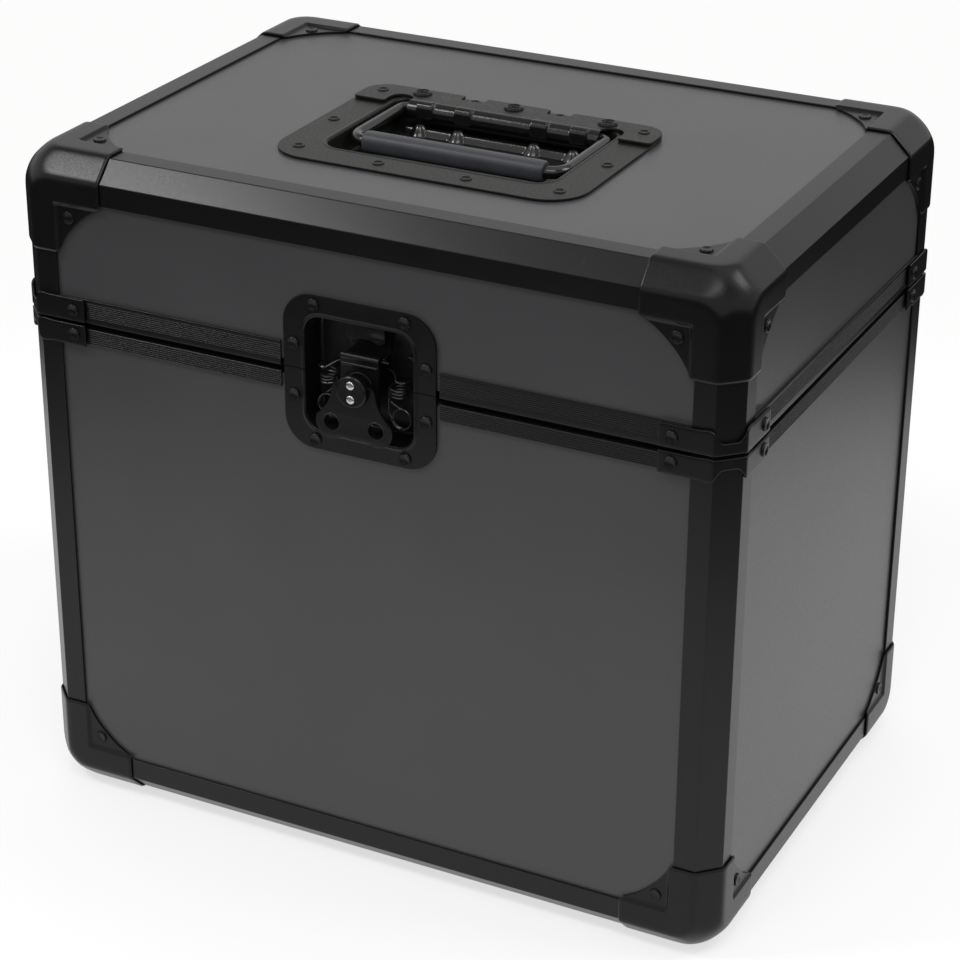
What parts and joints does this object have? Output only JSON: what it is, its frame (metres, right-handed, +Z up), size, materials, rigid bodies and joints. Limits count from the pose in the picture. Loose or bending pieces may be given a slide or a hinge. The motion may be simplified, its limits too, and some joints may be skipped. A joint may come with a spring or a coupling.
{
  "type": "record carrying case",
  "caption": "Upright carrying case for vinyl records: laminated panels in edge extrusions with ball corners, a hinged lid, a recessed butterfly latch and a recessed sprung bail handle.",
  "frame": {"origin": "under the middle of the case, on the surface that its four lower corners stand on", "axes": "+Z up, -Y out of the front with the latch, +Y out of the back with the hinges, +X to the right as seen from the front"},
  "size_m": [0.4022, 0.2974, 0.3725],
  "materials": {
    "charcoal_laminate": "thin charcoal laminate with a fine matte texture, bonded to plywood",
    "black_extrusion": "satin black anodised",
    "black_steel": "satin black coating on pressed steel",
    "grip_rubber": "matte moulded sleeve",
    "spring_wire": "blackened spring wire"
  },
  "bodies": {
    "base": {"base_bottom_panel": "charcoal_laminate", "base_front_panel": "charcoal_laminate", "base_back_panel": "charcoal_laminate", "base_left_panel": "charcoal_laminate", "base_right_panel": "charcoal_laminate", "base_front_left_upright": "black_extrusion", "base_front_right_upright": "black_extrusion", "base_back_left_upright": "black_extrusion", "base_back_right_upright": "black_extrusion", "base_front_rail": "black_extrusion", "base_back_rail": "black_extrusion", "base_left_rail": "black_extrusion", "base_right_rail": "black_extrusion", "base_front_left_valance": "black_extrusion", "base_front_right_valance": "black_extrusion", "base_back_valance": "black_extrusion", "base_left_valance": "black_extrusion", "base_right_valance": "black_extrusion", "base_front_left_corner": "black_steel", "base_front_right_corner": "black_steel", "base_back_left_corner": "black_steel", "base_back_right_corner": "black_steel", "latch_dish": "black_steel", "latch_left_spring": "spring_wire", "latch_right_spring": "spring_wire", "left_hinge_base_leaf": "black_steel", "right_hinge_base_leaf": "black_steel"},
    "lid": {"lid_top_panel": "charcoal_laminate", "lid_front_panel": "charcoal_laminate", "lid_back_panel": "charcoal_laminate", "lid_left_panel": "charcoal_laminate", "lid_right_panel": "charcoal_laminate", "lid_front_left_upright": "black_extrusion", "lid_front_right_upright": "black_extrusion", "lid_back_left_upright": "black_extrusion", "lid_back_right_upright": "black_extrusion", "lid_front_rail": "black_extrusion", "lid_back_rail": "black_extrusion", "lid_left_rail": "black_extrusion", "lid_right_rail": "black_extrusion", "lid_front_left_valance": "black_extrusion", "lid_front_right_valance": "black_extrusion", "lid_back_valance": "black_extrusion", "lid_left_valance": "black_extrusion", "lid_right_valance": "black_extrusion", "lid_front_left_corner": "black_steel", "lid_front_right_corner": "black_steel", "lid_back_left_corner": "black_steel", "lid_back_right_corner": "black_steel", "latch_keeper_dish": "black_steel", "left_hinge_lid_leaf": "black_steel", "right_hinge_lid_leaf": "black_steel", "handle_dish": "black_steel", "handle_cover": "black_steel", "handle_spring": "spring_wire"},
    "handle": {"handle_bail": "black_steel", "handle_grip": "grip_rubber"},
    "wing": {"latch_wing": "black_steel", "latch_spindle": "black_steel"},
    "claw": {"latch_claw": "black_steel"}
  },
  "joints": [
    {"name": "lid_hinge", "type": "hinge", "parent": "base", "child": "lid", "pos_m": [0, 0.14445, 0.28275], "axis": [-1, 0, 0], "range_deg": [0, 100]},
    {"name": "handle_fold", "type": "hinge", "parent": "lid", "child": "handle", "pos_m": [0, 0.01995, 0.3662], "axis": [-1, 0, 0], "range_deg": [0, 90], "stiffness_Nm_per_rad": 0.06, "springref_deg": -17.19},
    {"name": "latch_turn", "type": "hinge", "parent": "base", "child": "wing", "pos_m": [0, -0.13905, 0.27925], "axis": [0, -1, 0], "range_deg": [0, 180]},
    {"name": "claw_lift", "type": "slide", "parent": "base", "child": "claw", "axis": [0, 0, 1], "range_m": [0, 0.008]}
  ],
  "couplings": [
    {"joint": "claw_lift", "follows": "latch_turn", "m_per_rad": 0.0025464}
  ]
}
